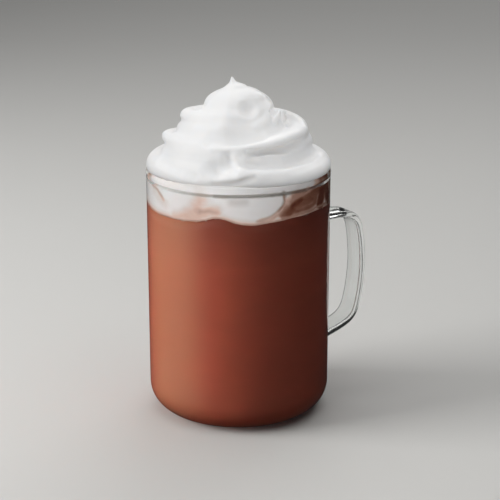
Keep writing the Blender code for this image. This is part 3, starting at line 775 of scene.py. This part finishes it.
def cream_field(x, y, z):
    """Below zero inside the cream. x, y before the swirl is turned; all in millimetres."""
    radius = np.sqrt(x * x + y * y)
    azimuth = np.degrees(np.arctan2(y, x))
    result = mound_field(HEAP, radius, z)
    for strand, soft in FOLDS:
        result = blend(result, section_field(strand, soft, azimuth, radius, z), soft)
    # Where its share is small the slope lies under the folds
    shares = np.array(SLOPE_SHARE, float)
    share = np.interp((azimuth + 360) % 360 - 360, shares[:, 0], shares[:, 1], 0, 0)
    sunk = SLOPE_SUNK * (1 - share * share * (3 - 2 * share))
    result = blend(result, mound_field(SLOPE, radius, z) + sunk, SLOPE_FILLET)
    work_chain(result, x, y, z, TIP, TIP_FILLET)
    for chains, carve in ((STRANDS, False), (GROOVES, True)):
        for soft, chain in chains:
            work_chain(result, x, y, z, chain, soft, carve)
    # The rim's bead and the wall, which the cream presses against
    bead = np.sqrt((radius - BEAD_CENTRE) ** 2 + (z - BEAD_HEIGHT) ** 2) - BEAD_RADIUS
    wall = np.maximum(WALL_INSIDE - radius, z - BEAD_HEIGHT)
    return np.maximum(result, -INTO_WALL - np.minimum(bead, wall))


def stepped_back(cells, axis, by):
    """The cells before these along the two other axes, as an index."""
    cells = cells.copy()
    cells[:, (axis + 1) % 3] -= by[0]
    cells[:, (axis + 2) % 3] -= by[1]
    return tuple(cells.T)


def surface_net(field, low, step):
    """Points and four-sided faces where the sampled field crosses zero."""
    inside = field < 0
    shape = np.array(field.shape) - 1
    total = np.zeros((*shape, 3))
    count = np.zeros(shape)
    crossings = []
    for axis in range(3):
        near, far = (tuple(cut if k == axis else slice(None) for k in range(3))
                     for cut in (slice(None, -1), slice(1, None)))
        a, b = field[near], field[far]
        at = np.argwhere(inside[near] != inside[far])
        where = tuple(at.T)
        place = at.astype(float)
        place[:, axis] += a[where] / (a[where] - b[where])
        crossings.append((axis, at, inside[near][where]))
        for by in ((0, 0), (0, 1), (1, 0), (1, 1)):
            cells = stepped_back(at, axis, by)
            np.add.at(total, cells, place)
            np.add.at(count, cells, 1)
    used = count > 0
    number = np.full(shape, -1)
    number[used] = np.arange(used.sum())
    points = low + step * total[used] / count[used][:, None]
    faces = []
    for axis, at, is_inside in crossings:
        quads = np.stack([number[stepped_back(at, axis, by)]
                          for by in ((1, 1), (0, 1), (0, 0), (1, 0))], axis=1)
        quads[~is_inside] = quads[~is_inside][:, ::-1]
        faces.append(quads)
    return points, np.concatenate(faces)


def relax(points, faces, rounds):
    """Evens out the grid's steps by moving each point towards its neighbours."""
    pairs = np.concatenate([faces[:, [k, (k + 1) % 4]] for k in range(4)])
    pairs = np.concatenate([pairs, pairs[:, ::-1]])
    count = np.bincount(pairs[:, 0], minlength=len(points))[:, None]
    for turn in range(2 * rounds):
        near = np.zeros_like(points)
        np.add.at(near, pairs[:, 0], points[pairs[:, 1]])
        # A push back after each pull keeps the size
        points = points + (PULL if turn % 2 == 0 else PUSH) * (near / count - points)
    return points


def turn_about_axis(points, turn):
    x, y = points[:, 0].copy(), points[:, 1].copy()
    points[:, 0] = x * math.cos(turn) - y * math.sin(turn)
    points[:, 1] = x * math.sin(turn) + y * math.cos(turn)
    return points


def smooth_step(low, high, value):
    t = np.clip((value - low) / (high - low), 0, 1)
    return t * t * (3 - 2 * t)


def stroked(points, side, settings, strokes, bare, fraying):
    """What strokes lay on the melted cream at each point, from 0 to 1, over a bare value."""
    turned = np.degrees(np.arctan2(points[:, 1], points[:, 0]) - settings.swirl_turn)
    height = points[:, 2].copy()
    noise.seed_set(settings.marbling_seed)
    for size, reach in EDDIES:
        eddy = np.array([noise.noise_vector(Vector(p) / size) for p in points])
        turned = turned + np.degrees(reach * fraying * eddy[:, 0] / side)
        height = height + EDDY_RISE * (reach * fraying) * eddy[:, 1]
    share = np.full(len(points), bare)
    for wide, soft, most, line in strokes:
        nearest = np.full(len(points), FAR)
        for (turn, low), (end_turn, high) in zip(line, line[1:]):
            across = np.radians((turned - turn + 180) % 360 - 180) * side
            span = np.array((math.radians(end_turn - turn) * side, high - low))
            t = np.clip((across * span[0] + (height - low) * span[1]) / span.dot(span), 0, 1)
            nearest = np.minimum(nearest, np.hypot(across - t * span[0],
                                                   height - low - t * span[1]))
        weight = 1 - smooth_step(wide - soft / 2, wide + soft, nearest)
        share = share + (most - share) * weight
    return share


def length(name, description, default, least=0.0):
    return FloatProperty(name=name, description=description, default=default, min=least,
                         unit="LENGTH")


def angle(name, description, degrees):
    return FloatProperty(name=name, description=description, default=math.radians(degrees),
                         subtype="ANGLE")


def watts(name, lamp, default):
    return FloatProperty(name=name, description=f"Power of {lamp}, in watts", default=default,
                         min=0.0)


def whole(name, description, default, least=0):
    return IntProperty(name=name, description=description, default=default, min=least)


def hex_colour(name, what, default):
    return StringProperty(name=name, description="sRGB hex colour of " + what, default=default)


class MugSettings(bpy.types.PropertyGroup):
    radius: length("Radius", "Outside radius of the mug's wall",
                   round(MUG_BOX[1][1], 4) - 0.00005, 0.02)
    wall: length("Wall", "Thickness of the glass", 0.003, 0.001)
    strap_width: length("Handle width", "Width of the flat handle", 0.012, 0.004)
    strap_thickness: length("Handle thickness", "Thickness of the flat handle", 0.0031, 0.001)
    steps: whole("Steps", "Steps round the mug", 192, 24)


class FillingSettings(bpy.types.PropertyGroup):
    drink_level: length("Drink level", "Mean height of the drink", 0.097, 0.02)
    swirl_turn: angle("Swirl turn", "Turn of the swirl and the marbling from the handle", -30)
    cream_step: length("Cream spacing", "Spacing of the whipped cream's surface points",
                       0.0005, 0.0003)
    bubbles: whole("Bubbles", "Number of froth bubbles at the drink's edge", 260)
    seed: whole("Seed", "Seed of the froth", 11)
    marbling_seed: whole("Marbling seed", "Seed of the eddies that fray the marbling", 4, 1)
    drink_colour: hex_colour("Drink colour", "the drink", "#bb4731")
    # Colour of the painted sheen on the drink's lit side
    sheen_colour: hex_colour("Milky colour", "the drink's paler side", "#bb6041")
    cream_colour: hex_colour("Cream colour", "the whipped cream", "#fbfaf9")


class StudioSettings(bpy.types.PropertyGroup):
    azimuth: angle("Camera azimuth", "Camera's turn round the mug from -Y", -30)
    elevation: angle("Camera elevation", "Camera's angle above level", 16.58)
    distance: length("Camera distance", "From the camera to what it looks at", 0.6282)
    look_height: length("Look height", "Height of the point looked at", 0.0732)
    look_right: length("Look right", "The point looked at, right of the mug's axis", 0.00516,
                       -1.0)
    lens: FloatProperty(name="Lens", description="Focal length in millimetres", default=100.0)
    key_power: watts("Key power", "the large light at the left", 19.5)
    top_power: watts("Top power", "the light overhead", 2.4)
    low_fill_power: watts("Low fill power", "the low light at the front", 0.9)
    back_power: watts("Back power", "the light behind", 20.0)
    cream_key_power: watts("Cream key power", "the scrimmed light at the left", 8.0)
    cream_top_power: watts("Cream top power", "the cream's and the floor's light overhead",
                           7.5)
    fill_power: watts("Fill power", "the light on the cream's front", 4.0)
    bounce_power: watts("Bounce power", "the card that lights the cream from below", 1.2)
    band_power: watts("Band power", "the light on the melted cream", 5.6)
    rim_power: watts("Rim power", "the strip that lights the glass rim", 1.8)
    floor_colour: hex_colour("Floor colour", "the floor", "#cbcac7")


class MOCHA_OT_mug(bpy.types.Operator):
    """Turns the glass mug and joins its strap handle"""

    bl_idname = "mocha.mug"
    bl_label = "Glass mug"

    def execute(self, context):
        settings = context.scene.mocha_mug
        glass = borosilicate_glass()
        radius = settings.radius / MM
        inner = radius - settings.wall / MM
        flat = radius - FLAT_CORNER
        inner_corner = inner - flat
        out_turn = -math.degrees(math.acos((radius - BEAD_CENTRE) / BEAD_RADIUS))
        in_turn = 180 + math.degrees(math.acos((BEAD_CENTRE - inner) / BEAD_RADIUS))
        profile = [(0.0, 0.0)] + line_points((0, 0), (flat, 0), 3.0)
        profile += arc(flat, FLAT_CORNER, FLAT_CORNER, -90, 0, 18)
        bead = arc(BEAD_CENTRE, BEAD_HEIGHT, BEAD_RADIUS, out_turn, in_turn, 28)
        profile += line_points(profile[-1], bead[0], 1.6) + bead
        floor = arc(flat, BASE + inner_corner, inner_corner, 0, -90, 16)
        profile += line_points(bead[-1], floor[0], 2.4) + floor
        profile += line_points(floor[-1], (0, BASE), 3.0) + [(0.0, BASE)]
        mug = guide("mug_glass", [((r - radius) * MM, -z * MM, 0.0) for r, z in profile])
        run_tree(mug, turning_tree(), {"Path Radius": settings.radius,
                                       "Steps": settings.steps, "Material": glass})
        path = smooth_path(STRAP_LINE, 110)
        strap = guide("strap", [(r * MM, 0.0, z * MM) for r, z in path])
        run_tree(strap, strap_tree(), {
            "Width": settings.strap_width, "Thickness": settings.strap_thickness,
            "Corner": 0.00135, "Wall Radius": settings.radius, "Flare Reach": 0.006,
            "Flare": 0.22, "Material": glass})
        for obj in (mug, strap):
            face_outwards(obj.data, merge=1e-6)
        join = mug.modifiers.new("join", "BOOLEAN")
        join.operation = "UNION"
        join.solver = "EXACT"
        join.object = strap
        keep_result(mug)
        bpy.data.objects.remove(strap)
        mug.data.shade_smooth()
        mug.data.set_sharp_from_angle(angle=math.radians(40))
        finish_piece(mug, "mug")
        return {"FINISHED"}


class MOCHA_OT_drink(bpy.types.Operator):
    """Fills the mug with the drink, just into the wall"""

    bl_idname = "mocha.drink"
    bl_label = "Mocha"

    def execute(self, context):
        settings = context.scene.mocha_filling
        mug = context.scene.mocha_mug
        radius = mug.radius / MM
        # A hair inside the melted cream's side
        side = radius - mug.wall / MM + INTO_WALL - 0.02
        flat = radius - FLAT_CORNER
        floor = BASE - INTO_WALL
        turns = even_turns(360)
        corner = arc(flat, floor + side - flat, side - flat, -90, 0, 16)
        rings = [[(0.0, 0.0, floor)]]
        rings += [round_ring(r, turns, z) for r, z in [(10.0, floor), (20.0, floor)] + corner]
        low = rings[-1][0][2]
        top = [level_at(side, math.degrees(t), settings) + LAP for t in turns]
        for share in np.linspace(0.06, 1.0, 17):
            rings.append(round_ring(side, turns, [low + (z - low) * share for z in top]))
        rings += [level_ring(r, turns, settings, LAP) for r in (34.0, 28.0, 20.0, 10.0)]
        rings.append([(0.0, 0.0, settings.drink_level / MM + LAP)])
        drink = mesh_object("mocha_drink", *rings_mesh(rings), chocolate_milk(settings))
        finish_piece(drink, "mocha")
        return {"FINISHED"}


class MOCHA_OT_melted_cream(bpy.types.Operator):
    """Lays the marbled band of melting cream between the drink and the whipped cream"""

    bl_idname = "mocha.melted_cream"
    bl_label = "Melting cream"

    def execute(self, context):
        settings = context.scene.mocha_filling
        mug = context.scene.mocha_mug
        side = (mug.radius - mug.wall) / MM + INTO_WALL
        turns = even_turns(720)
        rings = [[(0.0, 0.0, settings.drink_level / MM)]]
        rings += [level_ring(r, turns, settings) for r in (10.0, 20.0, 28.0, 34.0)]
        edge = [level_at(side, math.degrees(t), settings) for t in turns]
        # Up the wall, then into the groove and up behind the bead
        for share in np.linspace(0, 1, 36):
            rings.append(round_ring(side, turns, [
                z + (GROOVE_HEIGHT - GROOVE_HALF - z) * share for z in edge]))
        for z in np.arange(GROOVE_HEIGHT - GROOVE_HALF, MELT_TOP - 0.2, 0.14)[1:]:
            across = min(1.0, abs(z - GROOVE_HEIGHT) / GROOVE_HALF)
            bulge = math.sqrt(max(0.0, BEAD_RADIUS ** 2 - (z - BEAD_HEIGHT) ** 2))
            r = min(side, BEAD_CENTRE - bulge + INTO_WALL)
            rings.append(round_ring(r - GROOVE_DEPTH * (1 - across ** 2) ** 0.5, turns, z))
        rings += [round_ring(side - 1.6, turns, MELT_TOP - 0.05),
                  round_ring(20.0, turns, MELT_TOP), [(0.0, 0.0, MELT_TOP)]]
        cream = mesh_object("melted_cream_band", *rings_mesh(rings), melting_cream())
        points = np.array([v.co for v in cream.data.vertices]) / MM
        share = stroked(points, side, settings, MARBLING, bare=0.02, fraying=1.0)
        edges = np.array([level_at(side, t, settings) for t in
                          np.degrees(np.arctan2(points[:, 1], points[:, 0]))])
        # A pink seam where the cream's edge thins out over the drink
        above = points[:, 2] - edges
        seam = (0.2 * (1 - smooth_step(0.3, 1.3, above))
                + 0.17 * (1 - smooth_step(0.5, 4.0, above)))
        # Painted shade in the creases and along the groove, and greyed streaks
        shade_and_grey_values = stroked(points, side, settings, SHADE_AND_GREY_STROKES, bare=0.0, fraying=0.3)
        for name, values in (("cocoa_share", np.maximum(share, seam)),
                             ("crease_shade", shade_and_grey_values)):
            shares = cream.data.attributes.new(name, "FLOAT", "POINT")
            shares.data.foreach_set("value", values)
        finish_piece(cream, "melted_cream")
        return {"FINISHED"}


class MOCHA_OT_whipped_cream(bpy.types.Operator):
    """Pipes the swirl of whipped cream over the rim"""

    bl_idname = "mocha.whipped_cream"
    bl_label = "Whipped cream"

    def execute(self, context):
        settings = context.scene.mocha_filling
        step = settings.cream_step / MM
        low = np.array((-44.0, -44.0, 109.0))
        high = np.array((44.0, 44.0, 154.0))
        axes = [np.arange(a, b + step, step) for a, b in zip(low, high)]
        x, y, z = np.meshgrid(*axes, indexing="ij", sparse=True)
        field = np.maximum(cream_field(x, y, z), MELT_TOP - LAP - z)
        points, faces = surface_net(field, low, step)
        points = turn_about_axis(relax(points, faces, rounds=2), settings.swirl_turn)
        cream = mesh_object("whipped_swirl", points, faces.tolist(),
                            whipped_dairy_cream(settings))
        finish_piece(cream, "whipped_cream")
        return {"FINISHED"}


class MOCHA_OT_froth(bpy.types.Operator):
    """Strings small froth bubbles along the drink's edge"""

    bl_idname = "mocha.froth"
    bl_label = "Froth"

    def execute(self, context):
        settings = context.scene.mocha_filling
        mug = context.scene.mocha_mug
        draw = np.random.default_rng(settings.seed)
        inner = (mug.radius - mug.wall) / MM
        points = []
        for _ in range(settings.bubbles):
            turn = draw.uniform(0, 360)
            height = level_at(inner, turn, settings) + draw.normal(0.0, FROTH_SPREAD)
            sunk = (inner - draw.uniform(*FROTH_SUNK)) * MM
            points.append((sunk * math.cos(math.radians(turn)),
                           sunk * math.sin(math.radians(turn)), height * MM))
        froth = guide("froth_bubbles", points)
        run_tree(froth, bubble_tree(), {"Smallest": 0.00018, "Largest": 0.00034,
                                        "Seed": settings.seed, "Material": milk_foam()})
        froth.data.shade_smooth()
        finish_piece(froth, None)
        return {"FINISHED"}


class MOCHA_OT_studio(bpy.types.Operator):
    """Sets the floor, the lights and the camera"""

    bl_idname = "mocha.studio"
    bl_label = "Studio"

    def execute(self, context):
        scene = context.scene
        settings = scene.mocha_studio
        # Just under the mug's foot, so that the two don't meet
        side, drop = 12.0, 0.00005
        corners = [(-side, -side), (side, -side), (side, side), (-side, side)]
        mesh = bpy.data.meshes.new("studio_floor")
        mesh.from_pydata([(x, y, -drop) for x, y in corners], [], [(0, 1, 2, 3)])
        mesh.materials.append(matte_sweep(settings))
        floor = add_object("studio_floor", mesh)
        floor.visible_glossy = False
        for name, turn, distance, height, size, power, aim, lit, let_past, unseen in LAMPS:
            lamp = bpy.data.lights.new(name, "AREA")
            lamp.shape = "RECTANGLE"
            lamp.size, lamp.size_y = size
            lamp.energy = getattr(settings, power)
            made = add_object(name, lamp)
            turned = math.radians(turn) + settings.azimuth
            made.location = (distance * math.cos(turned), distance * math.sin(turned), height)
            towards = Vector((0.0, 0.0, aim)) - made.location
            made.rotation_euler = towards.to_track_quat("-Z", "Y").to_euler()
            for rays in unseen:
                setattr(made, "visible_" + rays, False)
            if lit:
                group = bpy.data.collections.new(name)
                for piece in lit:
                    group.objects.link(bpy.data.objects[piece])
                made.light_linking.receiver_collection = group
                if let_past:
                    made.light_linking.blocker_collection = group
        world = bpy.data.worlds.new("studio_air")
        world.use_nodes = True
        air = world.node_tree.nodes["Background"]
        air.inputs["Color"].default_value = linear("#c9cccd")
        air.inputs["Strength"].default_value = 0.03
        scene.world = world
        scene.view_settings.view_transform = "Standard"
        azimuth, elevation = settings.azimuth, settings.elevation
        forward = -Vector((math.sin(azimuth) * math.cos(elevation),
                           -math.cos(azimuth) * math.cos(elevation), math.sin(elevation)))
        right = Vector((math.cos(azimuth), math.sin(azimuth), 0.0))
        look = Vector((0.0, 0.0, settings.look_height)) + right * settings.look_right
        lens = bpy.data.cameras.new("camera")
        lens.lens = settings.lens
        lens.sensor_width = 36.0
        camera = add_object("camera", lens)
        camera.location = look - forward * settings.distance
        camera.rotation_euler = forward.to_track_quat("-Z", "Y").to_euler()
        scene.camera = camera
        return {"FINISHED"}


BUILDERS = (MOCHA_OT_mug, MOCHA_OT_drink, MOCHA_OT_melted_cream, MOCHA_OT_whipped_cream,
            MOCHA_OT_froth, MOCHA_OT_studio)


class MOCHA_PT_panel(bpy.types.Panel):
    """Lists the settings and the pieces"""

    bl_idname = "MOCHA_PT_panel"
    bl_label = "Caffe mocha"
    bl_space_type = "VIEW_3D"
    bl_region_type = "UI"
    bl_category = "Mocha"

    def draw(self, context):
        scene = context.scene
        for group in (scene.mocha_mug, scene.mocha_filling, scene.mocha_studio):
            box = self.layout.box()
            for name in group.bl_rna.properties.keys():
                if name not in ("rna_type", "name"):
                    box.prop(group, name)
        for builder in BUILDERS:
            self.layout.operator(builder.bl_idname)


GROUPS = (("mocha_mug", MugSettings), ("mocha_filling", FillingSettings),
          ("mocha_studio", StudioSettings))


def register():
    for name, group in GROUPS:
        bpy.utils.register_class(group)
        setattr(bpy.types.Scene, name, PointerProperty(type=group))
    for builder in (*BUILDERS, MOCHA_PT_panel):
        bpy.utils.register_class(builder)


def unregister():
    for builder in (MOCHA_PT_panel, *reversed(BUILDERS)):
        bpy.utils.unregister_class(builder)
    for name, group in reversed(GROUPS):
        delattr(bpy.types.Scene, name)
        bpy.utils.unregister_class(group)


def main():
    register()
    bpy.ops.mocha.mug()
    bpy.ops.mocha.drink()
    bpy.ops.mocha.melted_cream()
    bpy.ops.mocha.whipped_cream()
    bpy.ops.mocha.froth()
    bpy.ops.mocha.studio()


if __name__ == "__main__":
    main()
